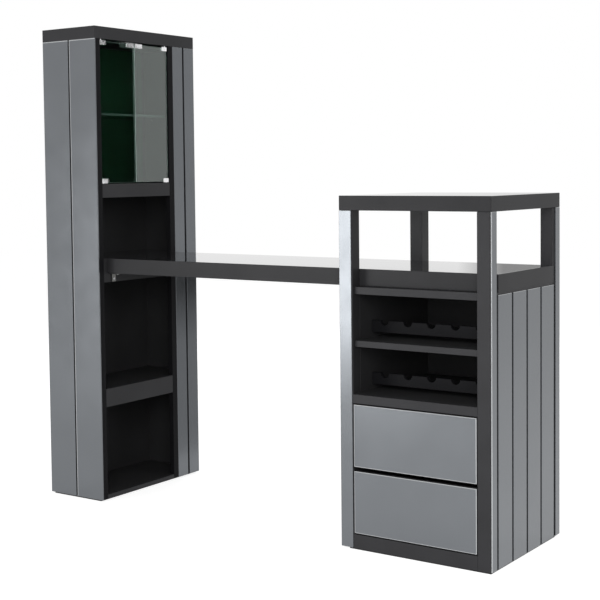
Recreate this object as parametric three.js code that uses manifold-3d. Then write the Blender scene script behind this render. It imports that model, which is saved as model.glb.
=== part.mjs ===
// Bar counter: a tall open tower with a glass display case at one end, a drawer and bottle cabinet
// at the other, and a counter board that runs from the tower's face through the cabinet.
// Millimetres, +Z up. In the bench frame X runs from the tower's rear face to the cabinet's end,
// Y from the near faces to the far side, and Z from the floor. The finished group is moved so that
// its origin is at the middle of the whole footprint.
import * as THREE from "three";
import { mergeVertices } from "three/addons/utils/BufferGeometryUtils.js";
import Module from "manifold-3d";

const wasm = await Module();
wasm.setup();

// Sizes shared by tower, counter and cabinet
const OVERALL_LENGTH = 2114;
const SEAT_GAP = 0.3; // between faces that are glued, screwed or seated
const MIRROR_GLASS = 5; // thickness of the glued mirror strips
const MIRROR_FOOT = 6; // the strips stop this far above the floor
const COUNTER_TOP = 1029;
const COUNTER_BOARD = 63;

// Tower carcass
const TOWER_DEPTH = 304; // along X
const TOWER_WIDTH = 642; // along Y
const TOWER_HEIGHT = 2000;
const TOWER_CAP = 51;
const TOWER_BASE = 9;
const TOWER_BASE_INSET = 16;
const TOWER_BASE_FAR_INSET = 45;
const BOTTOM_BOARD = 16;
const CLADDING_BOARD = 12.7;
const NEAR_SIDE_BOARD = 13.7;
const FAR_SIDE_BOARD = 12;
const BACK_BOARD = 10;
const OPENING_WIDTH = 432;
const FAR_STILE = 32;
const FACADE_BOARD = 18;
const NEAR_GROOVE = 7.6; // between the two mirror strips of the near face
const FACADE_GROOVE = 11; // between the two mirror strips beside the shelves
const DOOR_SHELF_TOP = 1343;
const DOOR_SHELF = 58;
const COUNTER_SHELF = 101;
const LOWER_SHELF_TOP = 476;
const LOWER_SHELF = 77;

// Glass display case in the top of the tower
const CASE_GLASS = 5;
const CASE_SHELF_TOP = 1643;
const CASE_SHELF = 10;
const CASE_SHELF_SETBACK = 24;
const SHELF_PIN_RADIUS = 3;
const SHELF_PIN_LENGTH = 12; // standing out of the side board
const SHELF_PIN_ROOT = 6; // sunk into the side board
const SHELF_PIN_INSET = 50;
const DOOR_FACE_INSET = 3; // the doors' clips stand this far behind the tower's face
const DOOR_SIDE_GAP = 3;
const DOOR_FLOOR_GAP = 2;
const DOOR_TOP_GAP = 6;
const DOOR_MEETING_GAP = 8;
const CLIP_CHEEK = 3; // metal each side of the glass, and over its edge
const CLIP_HEIGHT = 18;
const HINGE_CLIP_LENGTH = 34;
const STRIKE_CLIP_LENGTH = 46;
const PIVOT_INSET = 9; // pivot axis from the door's outer edge
const PIVOT_RADIUS = 3;
const PIVOT_DEPTH = 8;
const PIVOT_CLEARANCE = 0.5;
const LATCH_LENGTH = 76;
const LATCH_DEPTH = 40;
const LATCH_HEIGHT = 22;
const LATCH_MAGNET_RADIUS = 5;
const LATCH_MAGNET_STAND = 2;
const LATCH_CLEARANCE = 1; // magnet face to strike clip

// Steel angle brackets under the counter's tower end
const BRACKET_WIDTH = 22;
const BRACKET_LEG = 36;
const BRACKET_STEEL = 4;
const BRACKET_INSET = 22; // from each long edge of the counter, or of the shelf that carries it

// Cabinet carcass
const CABINET_WIDTH = 612; // along X
const CABINET_DEPTH = 576; // along Y
const CABINET_HEIGHT = 1298;
const CABINET_CAP = 54;
const CABINET_BASE = 6;
const CABINET_BASE_INSET = 33;
const POST = 54; // corner posts, over their mirror strips
const CABINET_BACK = 12;
const BODY_TOP = 27;
const WINE_SHELF_TOP = 769;
const WINE_SHELF = 23;
const SHELF_SETBACK = 18; // wine shelf and body top behind the front faces
const RAIL_TOP = 574;
const RAIL_BOARD = 33;
const PLINTH_TOP = 57;
const PLINTH_BOARD = 18;
const POST_STRIP = 51;
const NARROW_STRIP = 37;
const NARROW_STRIP_INSET = 5;
const WIDE_STRIP_COUNT = 4;
const WIDE_STRIP_GROOVE = 12;
const WIDE_STRIP_TOP = 957;

// Bottle rails in the two wine niches
const RACK_SETBACK = 135;
const RACK_BOARD = 18;
const RACK_LIFT = 20; // underside above the board below
const RACK_HEIGHT = 43;
const NOTCH_COUNT = 5;
const NOTCH_PITCH = 98;
const NOTCH_RADIUS = 18;

// Drawers
const DRAWER_SIDE_GAP = 4;
const DRAWER_EDGE_GAP = 5; // above the plinth and below the rail board
const FINGER_GAP = 17;
const DRAWER_FRONT_BOARD = 16;
const DRAWER_BOX_DEPTH = 470;
const DRAWER_BOX_HEIGHT = 150;
const DRAWER_BOX_LIFT = 15; // box underside above the front's lower edge
const DRAWER_WALL = 12;
const RUNNER = 12.4;
const RUNNER_HEIGHT = 36;
const RUNNER_STEEL = 2;
const RUNNER_LIFT = 40; // runner underside above the box underside

// Finishes: colour, roughness, metalness
const ANTHRACITE = [0x3a3a3d, 0.45, 0];
const BLACK_BOARD = [0x141415, 0.5, 0];
const GREY_MIRROR = [0x8b8b8f, 0.05, 1];
const CLEAR_GLASS = [0x5c7a6e, 0.05, 0];
const CHROME = [0xdadada, 0.12, 1];
const STEEL = [0xa9abad, 0.35, 1];
const LATCH_PLASTIC = [0x6f7472, 0.5, 0];

// Places worked out from the sizes
const mirrorBacking = MIRROR_GLASS + SEAT_GAP;
const towerCapBottom = TOWER_HEIGHT - TOWER_CAP;
const towerTop = towerCapBottom - SEAT_GAP;
const towerFloor = TOWER_BASE + SEAT_GAP;
const towerInside = BACK_BOARD + SEAT_GAP;
const nearSide = mirrorBacking + CLADDING_BOARD + SEAT_GAP;
const openingNear = nearSide + NEAR_SIDE_BOARD;
const openingFar = openingNear + OPENING_WIDTH;
const stileFar = openingFar + FAR_STILE;
const farSide = TOWER_WIDTH - FAR_SIDE_BOARD;
const facadeFront = TOWER_DEPTH - mirrorBacking;
const facadeRear = facadeFront - FACADE_BOARD;
const counterBottom = COUNTER_TOP - COUNTER_BOARD;
const cabinetLeft = OVERALL_LENGTH - CABINET_WIDTH;
const cabinetRight = OVERALL_LENGTH;
const cabinetCapBottom = CABINET_HEIGHT - CABINET_CAP;
const cabinetFloor = CABINET_BASE + SEAT_GAP;
const rightBacking = cabinetRight - mirrorBacking;
const insideLeft = cabinetLeft + POST + SEAT_GAP;
const insideRight = cabinetRight - POST - SEAT_GAP;
const betweenNear = POST + SEAT_GAP;
const betweenFar = CABINET_DEPTH - POST - SEAT_GAP;
const insideBack = CABINET_DEPTH - CABINET_BACK - SEAT_GAP;
const bodyTopTop = counterBottom - SEAT_GAP;
const bodyTopBottom = bodyTopTop - BODY_TOP;

const barCounter = new THREE.Group();
barCounter.position.set(-OVERALL_LENGTH / 2, -TOWER_WIDTH / 2, 0);

function addMesh(name, [color, roughness, metalness], geometry) {
  const material = new THREE.MeshStandardMaterial({ color, roughness, metalness });
  const mesh = new THREE.Mesh(geometry, material);
  mesh.name = name;
  barCounter.add(mesh);
}

// A plain box between two limits on each axis.
function boxBetween([x0, x1], [y0, y1], [z0, z1]) {
  const geometry = new THREE.BoxGeometry(x1 - x0, y1 - y0, z1 - z0);
  return geometry.translate((x0 + x1) / 2, (y0 + y1) / 2, (z0 + z1) / 2);
}

function addBoard(name, finish, xLimits, yLimits, zLimits) {
  addMesh(name, finish, boxBetween(xLimits, yLimits, zLimits));
}

function outlineShape(points) {
  return new THREE.Shape(points.map(([x, y]) => new THREE.Vector2(x, y)));
}

// A plan outline in X and Y, raised between two heights.
function raisedPlan(points, [z0, z1]) {
  const shape = outlineShape(points);
  const geometry = new THREE.ExtrudeGeometry(shape, { depth: z1 - z0, bevelEnabled: false });
  return geometry.translate(0, 0, z0);
}

// A section in X and Z, drawn out along Y.
function drawnSection(shape, [y0, y1]) {
  const options = { depth: y1 - y0, bevelEnabled: false, curveSegments: 10 };
  const geometry = new THREE.ExtrudeGeometry(shape, options);
  return geometry.rotateX(Math.PI / 2).translate(0, y1, 0);
}

// A round bar along Y or Z, with its middle at the given place.
function roundBar(radius, length, [x, y, z], alongZ) {
  const geometry = new THREE.CylinderGeometry(radius, radius, length, 20);
  if (alongZ) geometry.rotateX(Math.PI / 2);
  return geometry.translate(x, y, z);
}

function roundBarAlongX(radius, length, [x, y, z]) {
  const geometry = new THREE.CylinderGeometry(radius, radius, length, 20);
  return geometry.rotateZ(Math.PI / 2).translate(x, y, z);
}

function toSolid(geometry) {
  const bare = geometry.clone();
  bare.deleteAttribute("normal");
  bare.deleteAttribute("uv");
  const merged = mergeVertices(bare, 1e-4);
  const vertProperties = new Float32Array(merged.attributes.position.array);
  const triVerts = new Uint32Array(merged.index.array);
  return new wasm.Manifold(new wasm.Mesh({ numProp: 3, vertProperties, triVerts }));
}

function toGeometry(solid) {
  const mesh = solid.getMesh();
  const geometry = new THREE.BufferGeometry();
  geometry.setAttribute("position", new THREE.BufferAttribute(new Float32Array(mesh.vertProperties), 3));
  geometry.setIndex(new THREE.BufferAttribute(new Uint32Array(mesh.triVerts), 1));
  geometry.computeVertexNormals();
  return geometry;
}

function joined(first, ...others) {
  return toGeometry(others.reduce((solid, other) => solid.add(toSolid(other)), toSolid(first)));
}

function cutBy(first, ...others) {
  return toGeometry(others.reduce((solid, other) => solid.subtract(toSolid(other)), toSolid(first)));
}

// Tower: base, bottom and upright boards
addBoard(
  "tower_base",
  BLACK_BOARD,
  [TOWER_BASE_INSET, TOWER_DEPTH - TOWER_BASE_INSET],
  [mirrorBacking, TOWER_WIDTH - TOWER_BASE_FAR_INSET],
  [0, TOWER_BASE],
);

// Boards inside the tower reach its face between the stiles, and stop behind the facade board.
function towerShelfPlan() {
  const near = openingNear + SEAT_GAP;
  const far = openingFar - SEAT_GAP;
  const behindFacade = facadeRear - SEAT_GAP;
  const end = farSide - SEAT_GAP;
  return [
    [towerInside, near],
    [TOWER_DEPTH, near],
    [TOWER_DEPTH, far],
    [behindFacade, far],
    [behindFacade, end],
    [towerInside, end],
  ];
}

const bottomTop = towerFloor + BOTTOM_BOARD;
addMesh("tower_bottom", ANTHRACITE, raisedPlan(towerShelfPlan(), [towerFloor, bottomTop]));
addBoard("tower_back", ANTHRACITE, [0, BACK_BOARD], [mirrorBacking, TOWER_WIDTH], [towerFloor, towerTop]);
addBoard(
  "tower_near_cladding",
  ANTHRACITE,
  [towerInside, TOWER_DEPTH],
  [mirrorBacking, nearSide - SEAT_GAP],
  [towerFloor, towerTop],
);

// Two pins in each side board carry the glass shelf of the display case.
const caseShelfBottom = CASE_SHELF_TOP - CASE_SHELF;
const caseShelfFront = TOWER_DEPTH - CASE_SHELF_SETBACK - FACADE_BOARD;
const shelfPinHeight = caseShelfBottom - SEAT_GAP - SHELF_PIN_RADIUS;

function shelfPins(wallFace, inward) {
  return [towerInside + SHELF_PIN_INSET, caseShelfFront - SHELF_PIN_INSET].map((x) => {
    const middle = wallFace + (inward * (SHELF_PIN_LENGTH - SHELF_PIN_ROOT)) / 2;
    return roundBar(SHELF_PIN_RADIUS, SHELF_PIN_LENGTH + SHELF_PIN_ROOT, [x, middle, shelfPinHeight], false);
  });
}

addMesh(
  "tower_near_side",
  ANTHRACITE,
  joined(
    boxBetween([towerInside, TOWER_DEPTH], [nearSide, openingNear], [towerFloor, towerTop]),
    ...shelfPins(openingNear, 1),
  ),
);
addMesh(
  "tower_far_side",
  ANTHRACITE,
  joined(
    boxBetween([towerInside, facadeRear - SEAT_GAP], [farSide, TOWER_WIDTH], [towerFloor, towerTop]),
    ...shelfPins(farSide, -1),
  ),
);

// The facade board closes the front beyond the shelves: a flush stile, then a step back for the mirrors.
const facadePlan = [
  [facadeRear, openingFar],
  [TOWER_DEPTH, openingFar],
  [TOWER_DEPTH, stileFar],
  [facadeFront, stileFar],
  [facadeFront, TOWER_WIDTH],
  [facadeRear, TOWER_WIDTH],
];
addMesh("tower_facade", ANTHRACITE, raisedPlan(facadePlan, [towerFloor, towerTop]));

// Tower: shelves and cap, the door shelf and the cap bored for the door pivots
const doorMiddle = TOWER_DEPTH - DOOR_FACE_INSET - CLIP_CHEEK - SEAT_GAP - CASE_GLASS / 2;
const doorNearEdge = openingNear + DOOR_SIDE_GAP;
const doorFarEdge = openingFar - DOOR_SIDE_GAP;
const pivotNear = doorNearEdge + PIVOT_INSET;
const pivotFar = doorFarEdge - PIVOT_INSET;
const pivotBores = [DOOR_SHELF_TOP, towerCapBottom].flatMap((height) =>
  [pivotNear, pivotFar].map((y) => {
    const length = 2 * (PIVOT_DEPTH + PIVOT_CLEARANCE);
    return roundBar(PIVOT_RADIUS + PIVOT_CLEARANCE, length, [doorMiddle, y, height], true);
  }),
);
const doorShelf = raisedPlan(towerShelfPlan(), [DOOR_SHELF_TOP - DOOR_SHELF, DOOR_SHELF_TOP]);
addMesh("door_shelf", ANTHRACITE, cutBy(doorShelf, ...pivotBores));
const counterShelfZ = [COUNTER_TOP - COUNTER_SHELF, COUNTER_TOP];
addMesh("counter_shelf", ANTHRACITE, raisedPlan(towerShelfPlan(), counterShelfZ));
const lowerShelfZ = [LOWER_SHELF_TOP - LOWER_SHELF, LOWER_SHELF_TOP];
addMesh("lower_shelf", ANTHRACITE, raisedPlan(towerShelfPlan(), lowerShelfZ));
const towerCap = boxBetween([0, TOWER_DEPTH], [0, TOWER_WIDTH], [towerCapBottom, TOWER_HEIGHT]);
addMesh("tower_cap", ANTHRACITE, cutBy(towerCap, ...pivotBores));

// Tower: mirror strips
const nearStrip = (TOWER_DEPTH - NEAR_GROOVE) / 2;
const towerMirrorZ = [MIRROR_FOOT, towerTop];
const nearMirrorY = [0, MIRROR_GLASS];
addBoard("near_mirror_rear", GREY_MIRROR, [0, nearStrip], nearMirrorY, towerMirrorZ);
addBoard("near_mirror_front", GREY_MIRROR, [TOWER_DEPTH - nearStrip, TOWER_DEPTH], nearMirrorY, towerMirrorZ);
const facadeStart = stileFar + SEAT_GAP;
const facadeStrip = (TOWER_WIDTH - facadeStart - FACADE_GROOVE) / 2;
const facadeMirrorX = [TOWER_DEPTH - MIRROR_GLASS, TOWER_DEPTH];
const facadeInnerY = [facadeStart, facadeStart + facadeStrip];
const facadeOuterY = [TOWER_WIDTH - facadeStrip, TOWER_WIDTH];
addBoard("facade_mirror_inner", GREY_MIRROR, facadeMirrorX, facadeInnerY, towerMirrorZ);
addBoard("facade_mirror_outer", GREY_MIRROR, facadeMirrorX, facadeOuterY, towerMirrorZ);

// Display case: glass shelf on its pins
addBoard(
  "case_glass_shelf",
  CLEAR_GLASS,
  [towerInside + SEAT_GAP, caseShelfFront],
  [openingNear + SEAT_GAP, farSide - SEAT_GAP],
  [caseShelfBottom, CASE_SHELF_TOP],
);

// Display case: two glass doors, each held in two pivot clips and carrying a strike clip
const clipBottom = DOOR_SHELF_TOP + DOOR_FLOOR_GAP;
const clipTop = towerCapBottom - DOOR_TOP_GAP;
const clipRear = doorMiddle - CASE_GLASS / 2 - SEAT_GAP - CLIP_CHEEK;
const clipFront = TOWER_DEPTH - DOOR_FACE_INSET;
const doorLeaf = (doorFarEdge - doorNearEdge - DOOR_MEETING_GAP) / 2;

// A channel over the glass edge: the web at outerZ, the two cheeks reaching towards the glass.
function clipChannel(outerZ, towardsGlass, yLimits) {
  const cheekEnd = outerZ + towardsGlass * CLIP_HEIGHT;
  const webInside = outerZ + towardsGlass * CLIP_CHEEK;
  const points = [
    [clipRear, outerZ],
    [clipFront, outerZ],
    [clipFront, cheekEnd],
    [clipFront - CLIP_CHEEK, cheekEnd],
    [clipFront - CLIP_CHEEK, webInside],
    [clipRear + CLIP_CHEEK, webInside],
    [clipRear + CLIP_CHEEK, cheekEnd],
    [clipRear, cheekEnd],
  ];
  return drawnSection(outlineShape(points), yLimits);
}

function addDoor(side, outerEdge, inward, pivotY) {
  const innerEdge = outerEdge + inward * doorLeaf;
  const sorted = (a, b) => [Math.min(a, b), Math.max(a, b)];
  addBoard(
    `${side}_door_glass`,
    CLEAR_GLASS,
    [doorMiddle - CASE_GLASS / 2, doorMiddle + CASE_GLASS / 2],
    sorted(outerEdge, innerEdge),
    [clipBottom + CLIP_CHEEK + SEAT_GAP, clipTop - CLIP_CHEEK - SEAT_GAP],
  );
  const hingeY = sorted(outerEdge, outerEdge + inward * HINGE_CLIP_LENGTH);
  const lowerEnd = DOOR_SHELF_TOP - PIVOT_DEPTH;
  const upperEnd = towerCapBottom + PIVOT_DEPTH;
  const pivotPin = (z0, z1) => roundBar(PIVOT_RADIUS, z1 - z0, [doorMiddle, pivotY, (z0 + z1) / 2], true);
  addMesh(
    `${side}_door_lower_hinge`,
    CHROME,
    joined(clipChannel(clipBottom, 1, hingeY), pivotPin(lowerEnd, clipBottom + CLIP_CHEEK / 2)),
  );
  addMesh(
    `${side}_door_upper_hinge`,
    CHROME,
    joined(clipChannel(clipTop, -1, hingeY), pivotPin(clipTop - CLIP_CHEEK / 2, upperEnd)),
  );
  const strikeY = sorted(innerEdge - inward * STRIKE_CLIP_LENGTH, innerEdge);
  addMesh(`${side}_door_strike_clip`, CHROME, clipChannel(clipTop, -1, strikeY));
}

addDoor("left", doorNearEdge, 1, pivotNear);
addDoor("right", doorFarEdge, -1, pivotFar);

// A double magnet latch hangs from the cap behind the meeting edges of the doors.
const latchFront = clipRear - LATCH_CLEARANCE - LATCH_MAGNET_STAND;
const latchMiddleY = (openingNear + openingFar) / 2;
const latchZ = [towerTop - LATCH_HEIGHT, towerTop];
const latchMagnets = [-1, 1].map((side) => {
  const y = latchMiddleY + (side * LATCH_LENGTH) / 4;
  const z = clipTop - CLIP_HEIGHT / 2;
  return roundBarAlongX(LATCH_MAGNET_RADIUS, 2 * LATCH_MAGNET_STAND, [latchFront, y, z]);
});
addMesh(
  "magnet_latch",
  LATCH_PLASTIC,
  joined(
    boxBetween(
      [latchFront - LATCH_DEPTH, latchFront],
      [latchMiddleY - LATCH_LENGTH / 2, latchMiddleY + LATCH_LENGTH / 2],
      latchZ,
    ),
    ...latchMagnets,
  ),
);

// Counter board and its two angle brackets on the edge of the tower's counter shelf
const counterStart = TOWER_DEPTH + SEAT_GAP;
addBoard(
  "counter_board",
  ANTHRACITE,
  [counterStart, cabinetRight],
  [betweenNear, betweenFar],
  [counterBottom, COUNTER_TOP],
);

function bracketSection() {
  const top = counterBottom - SEAT_GAP;
  return outlineShape([
    [counterStart, top],
    [counterStart, top - BRACKET_LEG],
    [counterStart + BRACKET_STEEL, top - BRACKET_LEG],
    [counterStart + BRACKET_STEEL, top - BRACKET_STEEL],
    [counterStart + BRACKET_LEG, top - BRACKET_STEEL],
    [counterStart + BRACKET_LEG, top],
  ]);
}

function addBracket(place, start) {
  const bracketY = [start, start + BRACKET_WIDTH];
  addMesh(`counter_bracket_${place}`, STEEL, drawnSection(bracketSection(), bracketY));
}

addBracket("near", betweenNear + BRACKET_INSET);
addBracket("far", openingFar - BRACKET_INSET - BRACKET_WIDTH);

// Cabinet: base plate, corner posts and cap
addBoard(
  "cabinet_base",
  BLACK_BOARD,
  [cabinetLeft + CABINET_BASE_INSET, rightBacking],
  [mirrorBacking, CABINET_DEPTH - CABINET_BASE_INSET],
  [0, CABINET_BASE],
);
const postZ = [cabinetFloor, cabinetCapBottom - SEAT_GAP];
const leftPostX = [cabinetLeft, cabinetLeft + POST];
const rightPostX = [cabinetRight - POST, rightBacking];
const backPostY = [CABINET_DEPTH - POST, CABINET_DEPTH];
addBoard("post_front_left", ANTHRACITE, leftPostX, [mirrorBacking, POST], postZ);
addBoard("post_front_right", ANTHRACITE, rightPostX, [0, POST], postZ);
addBoard("post_back_left", ANTHRACITE, leftPostX, backPostY, postZ);
addBoard("post_back_right", ANTHRACITE, rightPostX, backPostY, postZ);
addBoard(
  "cabinet_cap",
  ANTHRACITE,
  [cabinetLeft, cabinetRight],
  [0, CABINET_DEPTH],
  [cabinetCapBottom, CABINET_HEIGHT],
);

// Cabinet: panels between the posts, body top, wine shelf, rail board and plinth
const panelZ = [cabinetFloor, bodyTopBottom - SEAT_GAP];
addBoard("cabinet_left_panel", ANTHRACITE, leftPostX, [betweenNear, betweenFar], panelZ);
addBoard("cabinet_right_panel", ANTHRACITE, rightPostX, [betweenNear, betweenFar], panelZ);
addBoard(
  "cabinet_back",
  ANTHRACITE,
  [insideLeft, insideRight],
  [CABINET_DEPTH - CABINET_BACK, CABINET_DEPTH],
  [cabinetFloor, bodyTopTop],
);
// The body top lies on both side panels and passes between the posts to front and back.
const bodyTopPlan = [
  [cabinetLeft, betweenNear],
  [insideLeft, betweenNear],
  [insideLeft, SHELF_SETBACK],
  [insideRight, SHELF_SETBACK],
  [insideRight, betweenNear],
  [rightBacking, betweenNear],
  [rightBacking, betweenFar],
  [insideRight, betweenFar],
  [insideRight, insideBack],
  [insideLeft, insideBack],
  [insideLeft, betweenFar],
  [cabinetLeft, betweenFar],
];
addMesh("cabinet_body_top", ANTHRACITE, raisedPlan(bodyTopPlan, [bodyTopBottom, bodyTopTop]));
addBoard(
  "wine_shelf",
  ANTHRACITE,
  [insideLeft, insideRight],
  [SHELF_SETBACK, insideBack],
  [WINE_SHELF_TOP - WINE_SHELF, WINE_SHELF_TOP],
);
const railBottom = RAIL_TOP - RAIL_BOARD;
const insideX = [insideLeft, insideRight];
addBoard("drawer_rail_board", ANTHRACITE, insideX, [0, insideBack], [railBottom, RAIL_TOP]);
addBoard("cabinet_plinth", ANTHRACITE, insideX, [0, PLINTH_BOARD], [cabinetFloor, PLINTH_TOP]);

// Cabinet: mirror strips on the front left post and on the right side
const postMirrorZ = [MIRROR_FOOT, cabinetCapBottom - SEAT_GAP];
const postStripX = [cabinetLeft, cabinetLeft + POST_STRIP];
addBoard("post_mirror_front", GREY_MIRROR, postStripX, [0, MIRROR_GLASS], postMirrorZ);
const sideMirrorX = [cabinetRight - MIRROR_GLASS, cabinetRight];
const frontStripY = [NARROW_STRIP_INSET, NARROW_STRIP_INSET + NARROW_STRIP];
const backStripY = [CABINET_DEPTH - NARROW_STRIP, CABINET_DEPTH];
addBoard("side_mirror_front_post", GREY_MIRROR, sideMirrorX, frontStripY, postMirrorZ);
addBoard("side_mirror_back_post", GREY_MIRROR, sideMirrorX, backStripY, postMirrorZ);
const wideStripGrooves = (WIDE_STRIP_COUNT - 1) * WIDE_STRIP_GROOVE;
const wideStrip = (betweenFar - betweenNear - wideStripGrooves) / WIDE_STRIP_COUNT;
for (let index = 0; index < WIDE_STRIP_COUNT; index += 1) {
  const start = betweenNear + index * (wideStrip + WIDE_STRIP_GROOVE);
  const stripZ = [MIRROR_FOOT, WIDE_STRIP_TOP];
  addBoard(`side_mirror_wide_${index + 1}`, GREY_MIRROR, sideMirrorX, [start, start + wideStrip], stripZ);
}

// Cabinet: bottle rails, each with a row of half-round notches for the bottle necks
function rackSection(boardTop) {
  const bottom = boardTop + RACK_LIFT;
  const top = bottom + RACK_HEIGHT;
  const middle = (insideLeft + insideRight) / 2;
  const section = new THREE.Shape();
  section.moveTo(insideLeft, bottom);
  section.lineTo(insideRight, bottom);
  section.lineTo(insideRight, top);
  for (let index = NOTCH_COUNT - 1; index >= 0; index -= 1) {
    const centre = middle + (index - (NOTCH_COUNT - 1) / 2) * NOTCH_PITCH;
    section.lineTo(centre + NOTCH_RADIUS, top);
    section.absarc(centre, top, NOTCH_RADIUS, 0, Math.PI, true);
  }
  section.lineTo(insideLeft, top);
  return section;
}

const rackY = [RACK_SETBACK, RACK_SETBACK + RACK_BOARD];
addMesh("upper_bottle_rail", ANTHRACITE, drawnSection(rackSection(WINE_SHELF_TOP), rackY));
addMesh("lower_bottle_rail", ANTHRACITE, drawnSection(rackSection(RAIL_TOP), rackY));

// Drawers: mirror, front board, box and a pair of channel runners each
const drawerLowest = PLINTH_TOP + DRAWER_EDGE_GAP;
const drawerHighest = railBottom - DRAWER_EDGE_GAP;
const drawerFront = (drawerHighest - drawerLowest - FINGER_GAP) / 2;
const drawerX = [cabinetLeft + POST + DRAWER_SIDE_GAP, cabinetRight - POST - DRAWER_SIDE_GAP];
const drawerBoxStart = mirrorBacking + DRAWER_FRONT_BOARD + SEAT_GAP;
const drawerBoxY = [drawerBoxStart, drawerBoxStart + DRAWER_BOX_DEPTH];
const drawerBoxX = [insideLeft + RUNNER + SEAT_GAP, insideRight - RUNNER - SEAT_GAP];

// A channel open towards the drawer: its back is screwed to the panel at wallX.
function runnerSection(wallX, inward, bottom) {
  const top = bottom + RUNNER_HEIGHT;
  const lip = wallX + inward * RUNNER;
  const backInside = wallX + inward * RUNNER_STEEL;
  return outlineShape([
    [wallX, bottom],
    [lip, bottom],
    [lip, bottom + RUNNER_STEEL],
    [backInside, bottom + RUNNER_STEEL],
    [backInside, top - RUNNER_STEEL],
    [lip, top - RUNNER_STEEL],
    [lip, top],
    [wallX, top],
  ]);
}

function addDrawer(level, bottom) {
  const frontZ = [bottom, bottom + drawerFront];
  const boxBottom = bottom + DRAWER_BOX_LIFT;
  const boxTop = boxBottom + DRAWER_BOX_HEIGHT;
  addBoard(`${level}_drawer_mirror`, GREY_MIRROR, drawerX, [0, MIRROR_GLASS], frontZ);
  addBoard(`${level}_drawer_front`, ANTHRACITE, drawerX, [mirrorBacking, drawerBoxStart - SEAT_GAP], frontZ);
  const hollow = boxBetween(
    [drawerBoxX[0] + DRAWER_WALL, drawerBoxX[1] - DRAWER_WALL],
    [drawerBoxY[0] + DRAWER_WALL, drawerBoxY[1] - DRAWER_WALL],
    [boxBottom + DRAWER_WALL, boxTop + DRAWER_WALL],
  );
  const block = boxBetween(drawerBoxX, drawerBoxY, [boxBottom, boxTop]);
  addMesh(`${level}_drawer_box`, BLACK_BOARD, cutBy(block, hollow));
  const runnerBottom = boxBottom + RUNNER_LIFT;
  const leftSection = runnerSection(insideLeft, 1, runnerBottom);
  const rightSection = runnerSection(insideRight, -1, runnerBottom);
  addMesh(`${level}_runner_left`, STEEL, drawnSection(leftSection, drawerBoxY));
  addMesh(`${level}_runner_right`, STEEL, drawnSection(rightSection, drawerBoxY));
}

addDrawer("lower", drawerLowest);
addDrawer("upper", drawerLowest + drawerFront + FINGER_GAP);

export default barCounter;
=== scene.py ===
import math

import bpy
import numpy as np
from mathutils import Matrix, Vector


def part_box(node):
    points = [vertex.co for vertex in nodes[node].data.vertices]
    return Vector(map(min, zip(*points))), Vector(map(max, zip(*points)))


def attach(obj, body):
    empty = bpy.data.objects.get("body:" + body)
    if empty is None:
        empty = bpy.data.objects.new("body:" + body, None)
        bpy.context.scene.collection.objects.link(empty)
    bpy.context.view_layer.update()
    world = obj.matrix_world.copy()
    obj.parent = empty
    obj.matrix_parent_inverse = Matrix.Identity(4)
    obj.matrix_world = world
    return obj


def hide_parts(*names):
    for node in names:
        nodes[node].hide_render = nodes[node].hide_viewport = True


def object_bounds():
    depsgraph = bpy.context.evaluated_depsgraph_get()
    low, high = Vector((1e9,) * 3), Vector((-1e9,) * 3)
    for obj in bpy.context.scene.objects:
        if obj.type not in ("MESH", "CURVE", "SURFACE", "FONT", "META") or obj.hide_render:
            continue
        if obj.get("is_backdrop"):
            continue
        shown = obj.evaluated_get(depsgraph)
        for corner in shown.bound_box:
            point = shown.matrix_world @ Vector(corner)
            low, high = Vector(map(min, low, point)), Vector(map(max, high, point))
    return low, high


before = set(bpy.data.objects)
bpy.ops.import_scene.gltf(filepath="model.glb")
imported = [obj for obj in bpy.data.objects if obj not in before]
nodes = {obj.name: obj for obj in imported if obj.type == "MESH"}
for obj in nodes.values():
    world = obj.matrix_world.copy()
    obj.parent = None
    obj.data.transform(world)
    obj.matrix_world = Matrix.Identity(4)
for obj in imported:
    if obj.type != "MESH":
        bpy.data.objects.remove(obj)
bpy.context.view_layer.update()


# Carcass boards of tower and cabinet.
# Chipboard faced with a satin anthracite laminate; shelves and posts have anthracite edges and faces a little
# darker, painted shade for the insides of the niches and the ledge under the counter.
# Boards are dowelled and glued, so only a thin softened edge shows at each joint.
BOARD_EDGE = 0.0012
WELD_REACH = 0.00002
SHARP_ANGLE = math.radians(40)
ANTHRACITE = (0.028, 0.028, 0.03)
# A little darker than the anthracite: painted shade on board faces inside the niches and under the counter.
NICHE_SHADE_FACE = (0.024, 0.024, 0.025)
SATIN = (0.4, 0.47)
SATIN_GLEAM = 0.16
GRAIN_SCALE = 1400.0
GRAIN_DEPTH = 0.00008
GRAIN_STRENGTH = 0.35
ANTHRACITE_BOARDS = ("tower_cap", "cabinet_plinth", "upper_drawer_front", "lower_drawer_front")
SHELVES_WITH_PAINTED_SHADE = (
    "tower_bottom", "door_shelf", "lower_shelf", "cabinet_body_top", "wine_shelf", "drawer_rail_board",
)
POSTS = ("post_front_left", "post_front_right", "post_back_left", "post_back_right")
BOTH_SIDES = 0


def new_finish(name):
    """An empty node material: returns the material, its nodes, its links and its surface shader."""
    finish = bpy.data.materials.new(name)
    finish.use_nodes = True
    tree = finish.node_tree
    return finish, tree.nodes, tree.links, tree.nodes["Principled BSDF"]


def mapped(tree_nodes, links, value, ends, results):
    """The value carried in a straight line from its two ends to two results, and held beyond them."""
    spread = tree_nodes.new("ShaderNodeMapRange")
    spread.inputs["From Min"].default_value, spread.inputs["From Max"].default_value = ends
    spread.inputs["To Min"].default_value, spread.inputs["To Max"].default_value = results
    links.new(value, spread.inputs["Value"])
    return spread.outputs["Result"]


def spotted(tree_nodes, links, scale, detail, results):
    """Noise on Object coordinates at the given scale, spread between two results."""
    place = tree_nodes.new("ShaderNodeTexCoord")
    noise = tree_nodes.new("ShaderNodeTexNoise")
    noise.inputs["Scale"].default_value = scale
    noise.inputs["Detail"].default_value = detail
    links.new(place.outputs["Object"], noise.inputs["Vector"])
    return mapped(tree_nodes, links, noise.outputs["Fac"], (0.3, 0.7), results)


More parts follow.
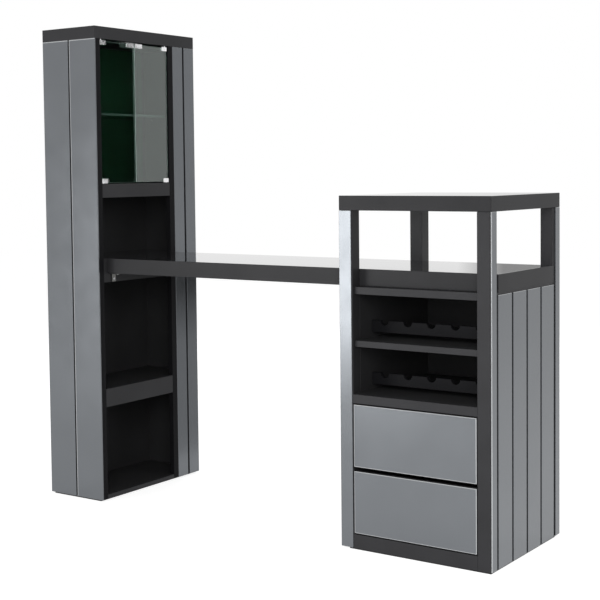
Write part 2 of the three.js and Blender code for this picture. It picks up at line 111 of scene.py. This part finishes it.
def tinted(tree_nodes, links, colour, strength):
    """The colour multiplied by a varying strength, for cloudy or worn patches."""
    scale = tree_nodes.new("ShaderNodeVectorMath")
    scale.operation = "SCALE"
    scale.inputs[0].default_value = colour
    links.new(strength, scale.inputs["Scale"])
    return scale.outputs["Vector"]


def grain_bump(tree_nodes, links, shader):
    """Fine noise turned into a shallow bump of the surface."""
    height = spotted(tree_nodes, links, GRAIN_SCALE, 3.0, (0.0, 1.0))
    bump = tree_nodes.new("ShaderNodeBump")
    bump.inputs["Strength"].default_value = GRAIN_STRENGTH
    bump.inputs["Distance"].default_value = GRAIN_DEPTH
    links.new(height, bump.inputs["Height"])
    links.new(bump.outputs["Normal"], shader.inputs["Normal"])


def laminate(name, colour, roughness, gleam):
    """Laminate with a cloudy colour, a pearled grain and a sheen that varies with handling."""
    finish, tree_nodes, links, shader = new_finish(name)
    cloud = spotted(tree_nodes, links, 9.0, 6.0, (0.91, 1.09))
    links.new(tinted(tree_nodes, links, colour, cloud), shader.inputs["Base Color"])
    links.new(spotted(tree_nodes, links, 4.0, 5.0, roughness), shader.inputs["Roughness"])
    grain_bump(tree_nodes, links, shader)
    shader.inputs["Specular IOR Level"].default_value = gleam
    return finish


def normal_part(tree_nodes, links, axis):
    """One component of the surface's normal."""
    facing = tree_nodes.new("ShaderNodeNewGeometry")
    parts = tree_nodes.new("ShaderNodeSeparateXYZ")
    links.new(facing.outputs["Normal"], parts.inputs["Vector"])
    return parts.outputs[axis]


def laminate_with_painted_shade(name, axis, sides):
    """Laminate whose faces along one axis, on both sides (0) or on one side (1 or -1) of the board, are a
    little darker: painted shade.
    The other faces and edges are anthracite: the blend follows the surface normal."""
    finish = laminate(name, ANTHRACITE, SATIN, SATIN_GLEAM)
    tree_nodes, links = finish.node_tree.nodes, finish.node_tree.links
    base = tree_nodes["Principled BSDF"].inputs["Base Color"]
    size = tree_nodes.new("ShaderNodeMath")
    size.operation = "ABSOLUTE" if sides == BOTH_SIDES else "MULTIPLY"
    size.inputs[1].default_value = sides
    links.new(normal_part(tree_nodes, links, axis), size.inputs[0])
    mix = tree_nodes.new("ShaderNodeMix")
    mix.data_type = "RGBA"
    blend = mapped(tree_nodes, links, size.outputs["Value"], (0.75, 0.95), (0.0, 1.0))
    links.new(blend, mix.inputs["Factor"])
    links.new(base.links[0].from_socket, mix.inputs["A"])
    cloud = spotted(tree_nodes, links, 5.0, 5.0, (0.85, 1.15))
    links.new(tinted(tree_nodes, links, NICHE_SHADE_FACE, cloud), mix.inputs["B"])
    links.new(mix.outputs["Result"], base)
    return finish


def soften(node, width):
    """Joins the loose triangles of a CAD node and rounds its sharp edges by a small width."""
    piece = nodes[node]
    weld = piece.modifiers.new("weld", "WELD")
    weld.merge_threshold = WELD_REACH
    bevel = piece.modifiers.new("soft_edge", "BEVEL")
    bevel.width = width
    bevel.segments = 2
    bevel.limit_method = "ANGLE"
    bevel.angle_limit = SHARP_ANGLE
    bevel.harden_normals = True


def dress(node, width, finish):
    """Softens the edges of a CAD node and gives it its finish."""
    soften(node, width)
    slots = nodes[node].data.materials
    slots.clear()
    slots.append(finish)


anthracite = laminate("anthracite_laminate", ANTHRACITE, SATIN, SATIN_GLEAM)
# Shelves and posts: faces a little darker than the edges, painted shade.
shelf_with_painted_shade = laminate_with_painted_shade("shelf_laminate_painted_shade", "Z", BOTH_SIDES)
post_with_painted_shade = laminate_with_painted_shade("post_laminate_painted_shade", "X", BOTH_SIDES)
for boards, finish in ((ANTHRACITE_BOARDS, anthracite), (SHELVES_WITH_PAINTED_SHADE, shelf_with_painted_shade), (POSTS, post_with_painted_shade)):
    for board in boards:
        dress(board, BOARD_EDGE, finish)


# Backing boards, inner boards and floor plates.
# The same laminate in matt black; boards round the niches have their inner side a little darker than the
# rest, painted shade inside the niches.
# Mirrors are glued to the backing boards, and the floor plates are set back so that the body seems to hover.
MATT = (0.46, 0.53)
STILE_BLACK = (0.009, 0.009, 0.01)
STILE_GLEAM = 0.05
NICHE_BLACK = (0.034, 0.034, 0.035)
NICHE_GLEAM = 0.12
STILE_BOARDS = ("tower_near_cladding", "tower_near_side", "tower_facade", "cabinet_right_panel")
NICHE_BOARDS = ("tower_base", "cabinet_base", "upper_drawer_box", "lower_drawer_box")
NICHE_SHADED_BOARDS = {
    "tower_back": ("X", 1), "tower_far_side": ("Y", -1),
    "cabinet_left_panel": ("X", 1), "cabinet_back": ("Y", -1),
}

stile_black = laminate("black_stile_board", STILE_BLACK, MATT, STILE_GLEAM)
niche_black = laminate("black_niche_board", NICHE_BLACK, MATT, NICHE_GLEAM)
for boards, finish in ((STILE_BOARDS, stile_black), (NICHE_BOARDS, niche_black)):
    for board in boards:
        dress(board, BOARD_EDGE, finish)
# The face of each board turned into its niche is darker: painted shade.
for board, (axis, side) in NICHE_SHADED_BOARDS.items():
    dress(board, BOARD_EDGE, laminate_with_painted_shade("niche_painted_shade_" + board, axis, side))


# Counter board, counter-level shelf and cabinet cap.
# The same laminate as the carcass on their edges, with a polished lacquer on the top faces
# that mirrors what stands on it.
GLOSS_EDGE = 0.002
GLOSS_BLACK = (0.024, 0.024, 0.0255)
GLOSS_GLEAM = 0.1
GLOSS_TOP_ROUGHNESS = 0.03
EDGE_ROUGHNESS = 0.36
LACQUER = 0.65
UPWARD = (0.7, 0.98)


def gloss_top_laminate(name, colour):
    """Laminate whose upward faces are polished.
    Where the normal points up, the roughness falls and the lacquer grows."""
    finish, tree_nodes, links, shader = new_finish(name)
    cloud = spotted(tree_nodes, links, 7.0, 6.0, (0.9, 1.1))
    links.new(tinted(tree_nodes, links, colour, cloud), shader.inputs["Base Color"])
    up = normal_part(tree_nodes, links, "Z")
    polish = mapped(tree_nodes, links, up, UPWARD, (EDGE_ROUGHNESS, GLOSS_TOP_ROUGHNESS))
    links.new(polish, shader.inputs["Roughness"])
    links.new(mapped(tree_nodes, links, up, UPWARD, (0.0, LACQUER)), shader.inputs["Coat Weight"])
    shader.inputs["Coat Roughness"].default_value = GLOSS_TOP_ROUGHNESS
    shader.inputs["Specular IOR Level"].default_value = GLOSS_GLEAM
    return finish


gloss_top = gloss_top_laminate("anthracite_gloss_top", GLOSS_BLACK)
for board in ("counter_board", "counter_shelf", "cabinet_cap"):
    dress(board, GLOSS_EDGE, gloss_top)


# Mirror strips on tower, cabinet and drawer fronts.
# Grey float-glass mirror, 5 mm thick, with ground edges, glued to the boards.
# Top edges, drawers, the tower's seam and the front post's strip have polished bevels in a much lighter tint,
# a painted highlight along those edges.
STRIP_BEVEL = 0.0012
TOWER_BEVEL = 0.004
TOWER_FAR_SHARE = 0.3
DRAWER_BEVEL = 0.0024
MIRROR_BEVEL_DROP = 0.001
MIRROR_TINT = (0.148, 0.157, 0.168)
MIRROR_ROUGHNESS = (0.2, 0.27)
BEVEL_HIGHLIGHT_TINT = (0.42, 0.43, 0.44)
BEVEL_ROUGHNESS = (0.1, 0.2)
SILVERING = 0.75
FACING_RIGHT = (
    "facade_mirror_inner", "facade_mirror_outer", "side_mirror_front_post", "side_mirror_back_post",
    "side_mirror_wide_1", "side_mirror_wide_2", "side_mirror_wide_3", "side_mirror_wide_4",
)
NEAR_AXES = (0, 2, 1, -1.0)
RIGHT_AXES = (1, 2, 0, 1.0)
# Finish of each face of a plate: back, then foot, far side, top and near side of three rings, then front.
ALL_EDGES = [0] + [1, 1, 1, 1] * 3 + [0]
TOP_EDGE = [0] + [0, 0, 1, 0] * 3 + [0]
TOP_AND_SEAM = [0] + [0, 0, 1, 0] * 2 + [0, 0, 1, 1] + [0]


def bevelled_plate(low, high, axes, bevel, drop, back_bevel=0.0, back_drop=0.0, far_share=1.0):
    """A rectangle carried through four rings: back face, back edge, front edge and front face.
    Each ring is the outline drawn in by its inset, at its share of the thickness.
    The far upright edge is drawn in by its share of the inset only."""
    across, up, out, sign = axes
    thick = high[out] - low[out]
    insets = np.array([back_bevel, 0.0, 0.0, bevel])
    levels = np.array([0.0, back_drop, thick - drop, thick])
    corner = np.array([[0, 0], [1, 0], [1, 1], [0, 1]])
    points = np.zeros((4, 4, 3))
    for axis, column, share in ((across, 0, far_share), (up, 1, 1.0)):
        edge = corner[:, column]
        near = low[axis] + insets[:, None]
        far = high[axis] - share * insets[:, None]
        points[:, :, axis] = near * (1 - edge) + far * edge
    base = low[out] if sign > 0 else high[out]
    points[:, :, out] = base + sign * levels[:, None]
    ring = np.arange(4)
    step = (ring + 1) % 4
    walls = [np.stack([ring + 4 * k, step + 4 * k, step + 4 * k + 4, ring + 4 * k + 4], 1) for k in range(3)]
    faces = np.vstack([ring[None, ::-1], *walls, (ring + 12)[None]])
    return points.reshape(-1, 3), faces


def add_piece(name, points, faces, finishes, face_finish):
    """A mesh piece at the origin, with one finish index for each face."""
    mesh = bpy.data.meshes.new(name)
    mesh.from_pydata(np.asarray(points, float).tolist(), [], [list(map(int, face)) for face in faces])
    for finish in finishes:
        mesh.materials.append(finish)
    mesh.polygons.foreach_set("material_index", np.asarray(face_finish, np.int32))
    mesh.update()
    piece = bpy.data.objects.new(name, mesh)
    bpy.context.scene.collection.objects.link(piece)
    return piece


def mirror_glass(name, tint, roughness):
    """Silvered glass: a metal-like reflection in a grey tint, with faint smears and a slow waviness."""
    finish, tree_nodes, links, shader = new_finish(name)
    shader.inputs["Metallic"].default_value = SILVERING
    cloud = spotted(tree_nodes, links, 1.3, 3.0, (0.94, 1.06))
    links.new(tinted(tree_nodes, links, tint, cloud), shader.inputs["Base Color"])
    links.new(spotted(tree_nodes, links, 9.0, 5.0, roughness), shader.inputs["Roughness"])
    return finish


grey_mirror = mirror_glass("grey_mirror", MIRROR_TINT, MIRROR_ROUGHNESS)
# The bevel's tint is much lighter than the mirror's: a painted highlight along the edges.
bevel_highlight = mirror_glass("mirror_bevel_painted_highlight", BEVEL_HIGHLIGHT_TINT, BEVEL_ROUGHNESS)


def add_mirror(node, axes, bevel, face_finish, body, far_share=1.0):
    """Stands a bevelled mirror plate in the place of its plain CAD strip."""
    low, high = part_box(node)
    points, faces = bevelled_plate(low, high, axes, bevel, MIRROR_BEVEL_DROP, far_share=far_share)
    plate = add_piece(node + "_plate", points, faces, [grey_mirror, bevel_highlight], face_finish)
    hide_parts(node)
    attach(plate, body)


add_mirror("near_mirror_rear", NEAR_AXES, TOWER_BEVEL, TOP_EDGE, "carcass", TOWER_FAR_SHARE)
add_mirror("near_mirror_front", NEAR_AXES, TOWER_BEVEL, TOP_AND_SEAM, "carcass", TOWER_FAR_SHARE)
add_mirror("post_mirror_front", NEAR_AXES, STRIP_BEVEL, TOP_EDGE, "carcass")
for strip in FACING_RIGHT:
    polished = ALL_EDGES if strip == "side_mirror_front_post" else TOP_EDGE
    add_mirror(strip, RIGHT_AXES, STRIP_BEVEL, polished, "carcass")
for level in ("upper", "lower"):
    add_mirror(level + "_drawer_mirror", NEAR_AXES, DRAWER_BEVEL, ALL_EDGES, level + "_drawer")


# Display case glass: two frameless doors and one loose shelf.
# Float glass with ground and polished edges. Their green is a flat painted colour: lighter on the doors,
# painted light running along the sheet, and darker on the shelf, painted shade inside the case.
# The doors hang in their clips, and the shelf lies on four pins.
GLASS_ARRIS = 0.0008
GLASS_TINT = (0.74, 0.9, 0.83)
GLASS_IOR = 1.64
# Door edges lighter, painted light along the sheet; shelf and lining edges darker, painted shade inside the
# case.
DOOR_EDGE = (0.25, 0.33, 0.3)
SHELF_EDGE = (0.06, 0.085, 0.075)
SHELF_AXES = (0, 1, 2, 1.0)


def clear_glass(name, tint):
    """Clear sheet glass with a green cast and a trace of smears in its polish."""
    finish, tree_nodes, links, shader = new_finish(name)
    cloud = spotted(tree_nodes, links, 3.0, 4.0, (0.96, 1.04))
    links.new(tinted(tree_nodes, links, tint, cloud), shader.inputs["Base Color"])
    shader.inputs["Transmission Weight"].default_value = 1.0
    shader.inputs["IOR"].default_value = GLASS_IOR
    links.new(spotted(tree_nodes, links, 5.0, 4.0, (0.0, 0.02)), shader.inputs["Roughness"])
    return finish


def glass_edge_finish(name, colour):
    """The edge of the sheet: a flat green, slightly milky, that paints the light along the sheet or the shade
    on it.
    """
    finish, tree_nodes, links, shader = new_finish(name)
    streaks = spotted(tree_nodes, links, 25.0, 4.0, (0.85, 1.15))
    links.new(tinted(tree_nodes, links, colour, streaks), shader.inputs["Base Color"])
    links.new(spotted(tree_nodes, links, 60.0, 3.0, (0.12, 0.25)), shader.inputs["Roughness"])
    return finish


case_glass = clear_glass("case_glass", GLASS_TINT)
door_edge = glass_edge_finish("door_edge_painted_light", DOOR_EDGE)
shelf_edge = glass_edge_finish("glass_edge_painted_shade", SHELF_EDGE)


def add_pane(node, axes, edge, body):
    """Stands a sheet with ground arrises on both faces in the place of its plain CAD pane."""
    low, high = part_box(node)
    points, faces = bevelled_plate(low, high, axes, GLASS_ARRIS, GLASS_ARRIS, GLASS_ARRIS, GLASS_ARRIS)
    pane = add_piece(node + "_pane", points, faces, [case_glass, edge], ALL_EDGES)
    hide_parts(node)
    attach(pane, body)


add_pane("case_glass_shelf", SHELF_AXES, shelf_edge, "carcass")
add_pane("left_door_glass", RIGHT_AXES, door_edge, "left_door")
add_pane("right_door_glass", RIGHT_AXES, door_edge, "right_door")


# Lining of the display case.
# Two sheets of dark green back-painted glass, above and below the loose shelf.
# They stand against the back board and are held by a few dabs of mirror glue.
LINING_GREEN = (0.024, 0.072, 0.04)
LINING_GLEAM = 0.3
LINING_THICK = 0.003
LINING_GAP = 0.0004
LINING_SIDE_GAP = 0.004


def painted_glass(name, colour):
    """Back-painted glass: a deep colour under a clear polished face."""
    finish, tree_nodes, links, shader = new_finish(name)
    cloud = spotted(tree_nodes, links, 2.2, 4.0, (0.8, 1.2))
    links.new(tinted(tree_nodes, links, colour, cloud), shader.inputs["Base Color"])
    links.new(spotted(tree_nodes, links, 6.0, 4.0, (0.06, 0.14)), shader.inputs["Roughness"])
    shader.inputs["Specular IOR Level"].default_value = LINING_GLEAM
    return finish


lining_green = painted_glass("back_painted_lining", LINING_GREEN)
lining_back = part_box("tower_back")[1][0] + LINING_GAP
lining_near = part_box("tower_near_side")[1][1] + LINING_SIDE_GAP
lining_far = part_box("tower_far_side")[0][1] - LINING_SIDE_GAP
shelf_low, shelf_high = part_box("case_glass_shelf")
lining_levels = {
    "lower": (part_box("door_shelf")[1][2] + LINING_GAP, shelf_low[2] - LINING_GAP),
    "upper": (shelf_high[2] + LINING_GAP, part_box("tower_cap")[0][2] - LINING_GAP),
}
for level, (foot, head) in lining_levels.items():
    low = (lining_back, lining_near, foot)
    high = (lining_back + LINING_THICK, lining_far, head)
    points, faces = bevelled_plate(low, high, RIGHT_AXES, GLASS_ARRIS, GLASS_ARRIS)
    sheet = add_piece(f"case_lining_{level}", points, faces, [lining_green, shelf_edge], ALL_EDGES)
    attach(sheet, "carcass")


# Door clips: pivot hinges at the outer corners and strike clips at the meeting corners.
# Pressed channels in polished chrome, clamped on the glass by grub screws from the inner side.
CHROME = (0.82, 0.82, 0.83)
CHROME_ROUGHNESS = (0.05, 0.14)
CLIP_EDGE = 0.0007
SCREW_RADIUS = 0.0028
SCREW_STAND = 0.0007
SCREW_FROM_GLASS_EDGE = 0.007
SCREW_SHARES = (0.3, 0.7)


def polished_metal(name, colour, roughness):
    """Plated metal: bright reflection with fine handling marks in its polish."""
    finish, tree_nodes, links, shader = new_finish(name)
    shader.inputs["Metallic"].default_value = 1.0
    cloud = spotted(tree_nodes, links, 40.0, 4.0, (0.95, 1.03))
    links.new(tinted(tree_nodes, links, colour, cloud), shader.inputs["Base Color"])
    links.new(spotted(tree_nodes, links, 90.0, 4.0, roughness), shader.inputs["Roughness"])
    return finish


def screw_head(centre, axis, sign, radius, stand):
    """A profile spun about an axis: flat rim, rounded shoulder and a hexagonal socket sunk in the middle.
    The socket's rings are drawn out to a hexagon by the secant of the angle from each flat's middle."""
    reach = np.array([1.0, 1.0, 0.86, 0.52, 0.46]) * radius
    height = np.array([0.0, 0.6, 1.0, 1.0, 0.2]) * stand
    rings = len(reach)
    outer_rings = 3
    turns = 24
    angle = np.arange(turns) * 2 * math.pi / turns
    six = np.cos(math.pi / 6) / np.cos((angle % (math.pi / 3)) - math.pi / 6)
    shape = np.where(np.arange(rings)[:, None] < outer_rings, 1.0, six[None, :])
    first, second = [k for k in range(3) if k != axis]
    points = np.zeros((rings, turns, 3))
    points[:, :, first] = centre[first] + reach[:, None] * shape * np.cos(angle)
    points[:, :, second] = centre[second] + reach[:, None] * shape * np.sin(angle)
    points[:, :, axis] = centre[axis] + sign * height[:, None]
    ring = np.arange(turns)
    step = (ring + 1) % turns
    walls = [np.stack([ring + turns * k, step + turns * k, step + turns * (k + 1), ring + turns * (k + 1)], 1)
             for k in range(rings - 1)]
    faces = [list(face) for face in np.vstack(walls)]
    faces.append(list(ring + turns * (rings - 1)))
    turned = (axis == 1) != (sign < 0)
    if turned:
        faces = [face[::-1] for face in faces]
    return points.reshape(-1, 3), faces


def add_screw(name, centre, axis, sign, radius, stand, finish, body):
    """One screw head on the face of the piece that it holds."""
    points, faces = screw_head(centre, axis, sign, radius, stand)
    screw = add_piece(name, points, faces, [finish], [0] * len(faces))
    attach(screw, body)


chrome = polished_metal("polished_chrome", CHROME, CHROME_ROUGHNESS)
for side in ("left", "right"):
    for clip in ("upper_hinge", "lower_hinge", "strike_clip"):
        node = f"{side}_door_{clip}"
        dress(node, CLIP_EDGE, chrome)
        low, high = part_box(node)
        glass_low, glass_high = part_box(f"{side}_door_glass")
        at_foot = clip == "lower_hinge"
        cheek_z = glass_low[2] + SCREW_FROM_GLASS_EDGE if at_foot else glass_high[2] - SCREW_FROM_GLASS_EDGE
        for share in SCREW_SHARES:
            spot = (low[0], low[1] + share * (high[1] - low[1]), cheek_z)
            add_screw(f"{node}_screw_{round(share * 10)}", spot, 0, -1, SCREW_RADIUS, SCREW_STAND,
                      chrome, f"{side}_door")


# Magnet latch under the tower's cap.
# A moulded grey plastic housing with two round magnets that hold the strike clips of both doors.
# It is screwed to the cap from below.
LATCH_EDGE = 0.001
LATCH_GREY = (0.2, 0.215, 0.21)
LATCH_ROUGHNESS = (0.4, 0.55)
dress("magnet_latch", LATCH_EDGE, laminate("moulded_latch_plastic", LATCH_GREY, LATCH_ROUGHNESS, SATIN_GLEAM))


# Counter brackets at the tower end, and drawer runners.
# Burnished steel angles, folded and screwed to shelf and counter.
# The runners are zinc-plated channels on the side panels.
BRACKET_EDGE = 0.0006
BRACKET_PLATE = 0.004
BRACKET_SCREW_INSET = 0.012
BRACKET_SCREW_RADIUS = 0.0045
BRACKET_SCREW_STAND = 0.002
BURNISHED_STEEL = (0.17, 0.17, 0.165)
BURNISHED_ROUGHNESS = (0.34, 0.5)
RUNNER_EDGE = 0.0004
ZINC_STEEL = (0.56, 0.57, 0.58)
ZINC_ROUGHNESS = (0.28, 0.45)

zinc_steel = polished_metal("zinc_plated_steel", ZINC_STEEL, ZINC_ROUGHNESS)
burnished_steel = polished_metal("burnished_steel", BURNISHED_STEEL, BURNISHED_ROUGHNESS)
for place in ("near", "far"):
    node = "counter_bracket_" + place
    dress(node, BRACKET_EDGE, burnished_steel)
    low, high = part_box(node)
    middle_y = (low[1] + high[1]) / 2
    on_shelf = (low[0] + BRACKET_PLATE, middle_y, low[2] + BRACKET_SCREW_INSET)
    on_board = (high[0] - BRACKET_SCREW_INSET, middle_y, high[2] - BRACKET_PLATE)
    add_screw(node + "_shelf_screw", on_shelf, 0, 1, BRACKET_SCREW_RADIUS, BRACKET_SCREW_STAND,
              zinc_steel, "carcass")
    add_screw(node + "_board_screw", on_board, 2, -1, BRACKET_SCREW_RADIUS, BRACKET_SCREW_STAND,
              zinc_steel, "carcass")
for level in ("upper", "lower"):
    for side in ("left", "right"):
        dress(f"{level}_runner_{side}", RUNNER_EDGE, zinc_steel)


# Bottle rails in the two wine niches.
# Laminated bars with half-round notches for the bottle necks, fixed between the side panels.
RAIL_EDGE = 0.0015
RAIL_BLACK = (0.008, 0.008, 0.009)
RAIL_GLEAM = 0.06
rail_laminate = laminate("bottle_rail_laminate", RAIL_BLACK, MATT, RAIL_GLEAM)
for level in ("upper", "lower"):
    dress(level + "_bottle_rail", RAIL_EDGE, rail_laminate)


# Floor and white surround.
# A pale matt floor that keeps the soft shadow of the body, under an even white surround.
# Both show white to camera, mirrors and glass, and light the object less than that.
FLOOR_REACH = 14.0
FLOOR_WHITE = 0.5
FLOOR_ROUGHNESS = 0.9
FLOOR_LIFT = 0.79
AMBIENT = 0.42
WHITE = (1, 1, 1, 1)
BLACK = (0, 0, 0, 1)


def seen_directly(tree_nodes, links):
    """One for camera, glossy and transmission rays, nought for the rays that only light the object."""
    path = tree_nodes.new("ShaderNodeLightPath")
    total = path.outputs["Is Camera Ray"]
    for ray in ("Is Glossy Ray", "Is Transmission Ray"):
        either = tree_nodes.new("ShaderNodeMath")
        either.operation = "MAXIMUM"
        links.new(total, either.inputs[0])
        links.new(path.outputs[ray], either.inputs[1])
        total = either.outputs["Value"]
    return total


def add_stage(name, corners, faces, finishes, hidden_from):
    """A flat piece of the studio with one finish for each face, left out for some kinds of ray."""
    piece = add_piece(name, corners, faces, finishes, range(len(faces)))
    for kind in hidden_from:
        setattr(piece, "visible_" + kind, False)
    piece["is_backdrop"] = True


pale_floor, floor_nodes, floor_links, floor_shader = new_finish("pale_floor")
floor_shader.inputs["Base Color"].default_value = (FLOOR_WHITE, FLOOR_WHITE, FLOOR_WHITE, 1)
floor_shader.inputs["Roughness"].default_value = FLOOR_ROUGHNESS
floor_shader.inputs["Specular IOR Level"].default_value = 0.0
floor_shader.inputs["Emission Color"].default_value = WHITE
floor_seen = seen_directly(floor_nodes, floor_links)
floor_glow = mapped(floor_nodes, floor_links, floor_seen, (0.0, 1.0), (0.0, FLOOR_LIFT))
floor_links.new(floor_glow, floor_shader.inputs["Emission Strength"])
floor_corners = [(-FLOOR_REACH, -FLOOR_REACH, 0), (FLOOR_REACH, -FLOOR_REACH, 0),
                 (FLOOR_REACH, FLOOR_REACH, 0), (-FLOOR_REACH, FLOOR_REACH, 0)]
add_stage("floor", floor_corners, [(0, 1, 2, 3)], [pale_floor], ())

world = bpy.data.worlds.new("white_surround")
bpy.context.scene.world = world
world.use_nodes = True
world_nodes = world.node_tree.nodes
world_links = world.node_tree.links
surround = world_nodes["Background"]
surround.inputs["Color"].default_value = WHITE
world_seen = seen_directly(world_nodes, world_links)
world_glow = mapped(world_nodes, world_links, world_seen, (0.0, 1.0), (AMBIENT, 1.0))
world_links.new(world_glow, surround.inputs["Strength"])


# Lamps.
# Four soft rectangular lamps: key at the front, weaker ones at the right, the left and behind.
# Only the left one shows in the mirrors, where it draws the bright run on the strips that face the front.
LAMPS = {
    "key_softbox": ((2.2, -3.4, 1.9), (0.4, 0.0, 0.9), (2.2, 2.2), 110, False),
    "side_softbox": ((5.2, 1.2, 2.8), (0.2, 0.0, 0.9), (2.6, 2.6), 45, False),
    "left_softbox": ((-2.55, -4.45, 0.82), (-0.2, 0.0, 0.82), (2.1, 1.56), 66, True),
    "back_softbox": ((-2.6, 4.6, 2.8), (0.0, 0.0, 0.9), (2.4, 2.4), 110, False),
}


def add_softbox(name, place, target, size, power, in_mirrors):
    """A soft lamp of the given width and height at a place, turned towards its target."""
    lamp = bpy.data.lights.new(name, "AREA")
    lamp.shape = "RECTANGLE"
    lamp.size, lamp.size_y = size
    lamp.energy = power
    box = bpy.data.objects.new(name, lamp)
    back = (np.array(place) - np.array(target)) / np.linalg.norm(np.array(place) - np.array(target))
    side = np.cross((0, 0, 1), back)
    side /= np.linalg.norm(side)
    rise = np.cross(back, side)
    turn = np.eye(4)
    turn[:3, 0], turn[:3, 1], turn[:3, 2], turn[:3, 3] = side, rise, back, place
    box.matrix_world = Matrix(turn.tolist())
    box.visible_glossy = in_mirrors
    bpy.context.scene.collection.objects.link(box)


for name, lamp in LAMPS.items():
    add_softbox(name, *lamp)


# Dark flag and grey cards.
# Studio cards that show in reflections but not to the camera. The left glass door mirrors the black flag.
# Two cards behind the cabinet grey the gloss tops. One beside the facade, dark at its top, gives its strips a
# dark band below the counter in their reflection: a painted shadow of the counter.
FLAG_BLACK = (0.004, 0.004, 0.004, 1)
FLAG_X = 1.943
FLAG_OUTLINE = ((2.645, 1.28), (2.934, 1.28), (2.934, 2.4), (2.55, 2.4), (2.55, 1.352), (2.645, 1.352))
CARD_Y = 2.6
CAP_CARD = ((-1.7, 1.3), (0.7, 1.3), (0.7, 1.5), (-1.7, 1.5))
CAP_FALL = ((-1.6, -0.1), (0.97, 0.74))
COUNTER_CARD = ((-0.6, 1.05), (0.7, 1.05), (0.7, 1.295), (-0.6, 1.295))
COUNTER_FALL = ((-0.6, -0.3), (1.0, 0.33))
FACADE_CARD_X = -0.45
FACADE_CARD = ((0.4, 0.01), (0.8, 0.01), (0.8, 0.93), (0.4, 0.93))
FACADE_FALL = ((0.56, 0.84), (0.66, 0.03))
ONLY_GLOSSY = ("camera", "diffuse", "transmission", "shadow")


def card_shade(name, axis, ends, shades):
    """A glow that falls along an axis from the first shade at one end to the second at the other."""
    finish, tree_nodes, links, shader = new_finish(name)
    shader.inputs["Base Color"].default_value = BLACK
    shader.inputs["Specular IOR Level"].default_value = 0.0
    shader.inputs["Emission Color"].default_value = WHITE
    place = tree_nodes.new("ShaderNodeTexCoord")
    parts = tree_nodes.new("ShaderNodeSeparateXYZ")
    links.new(place.outputs["Object"], parts.inputs["Vector"])
    strength = mapped(tree_nodes, links, parts.outputs[axis], ends, shades)
    links.new(strength, shader.inputs["Emission Strength"])
    return finish


flag_cloth = new_finish("flag_cloth")[0]
flag_shader = flag_cloth.node_tree.nodes["Principled BSDF"]
flag_shader.inputs["Base Color"].default_value = FLAG_BLACK
flag_shader.inputs["Roughness"].default_value = 1.0
flag_shader.inputs["Specular IOR Level"].default_value = 0.0
flag_corners = [(FLAG_X, y, z) for y, z in FLAG_OUTLINE]
add_stage("dark_flag", flag_corners, [range(len(flag_corners))], [flag_cloth],
          ("camera", "diffuse", "shadow"))

card_corners = [(x, CARD_Y, z) for x, z in CAP_CARD + COUNTER_CARD]
cap_shade = card_shade("card_behind_cap", "X", *CAP_FALL)
counter_shade = card_shade("card_behind_counter", "X", *COUNTER_FALL)
add_stage("grey_card", card_corners, [(0, 1, 2, 3), (4, 5, 6, 7)], [cap_shade, counter_shade], ONLY_GLOSSY)
# Dark at the top and pale at the foot: a painted shadow of the counter on the facade strips.
facade_painted_shadow = card_shade("painted_shadow_card_by_facade", "Z", *FACADE_FALL)
facade_corners = [(FACADE_CARD_X, y, z) for y, z in FACADE_CARD]
add_stage("facade_card", facade_corners, [(0, 1, 2, 3)], [facade_painted_shadow], ONLY_GLOSSY)


# Camera at the photograph's viewpoint.
# Place, turn and focal length come from a fit to the corners of tower, counter and cabinet.
CAMERA_PLACE = (2.9797, -4.2347, 1.3875)
CAMERA_YAW = 34.672
CAMERA_PITCH = -3.0726
CAMERA_ROLL = -0.5913
FOCAL_PIXELS = 1279.95
CENTRE_PIXELS = (300.0, 240.0)
IMAGE_PIXELS = 600
SENSOR_WIDTH = 36.0
FAR_LIMIT = 100.0
camera_data = bpy.data.cameras.new("photo_camera")
camera_data.sensor_width = SENSOR_WIDTH
camera_data.lens = SENSOR_WIDTH * FOCAL_PIXELS / IMAGE_PIXELS
camera_data.shift_x = 0.5 - CENTRE_PIXELS[0] / IMAGE_PIXELS
camera_data.shift_y = CENTRE_PIXELS[1] / IMAGE_PIXELS - 0.5
camera_data.clip_end = FAR_LIMIT
camera = bpy.data.objects.new("photo_camera", camera_data)
turned_camera = (
    Matrix.Rotation(math.radians(CAMERA_YAW), 4, "Z")
    @ Matrix.Rotation(math.radians(90 + CAMERA_PITCH), 4, "X")
    @ Matrix.Rotation(math.radians(CAMERA_ROLL), 4, "Z")
)
camera.matrix_world = Matrix.Translation(CAMERA_PLACE) @ turned_camera
bpy.context.scene.collection.objects.link(camera)
bpy.context.scene.camera = camera
bpy.context.scene.view_settings.view_transform = "Standard"


# Size of the part.
# The box of the dressed part, without the studio pieces.
low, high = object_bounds()
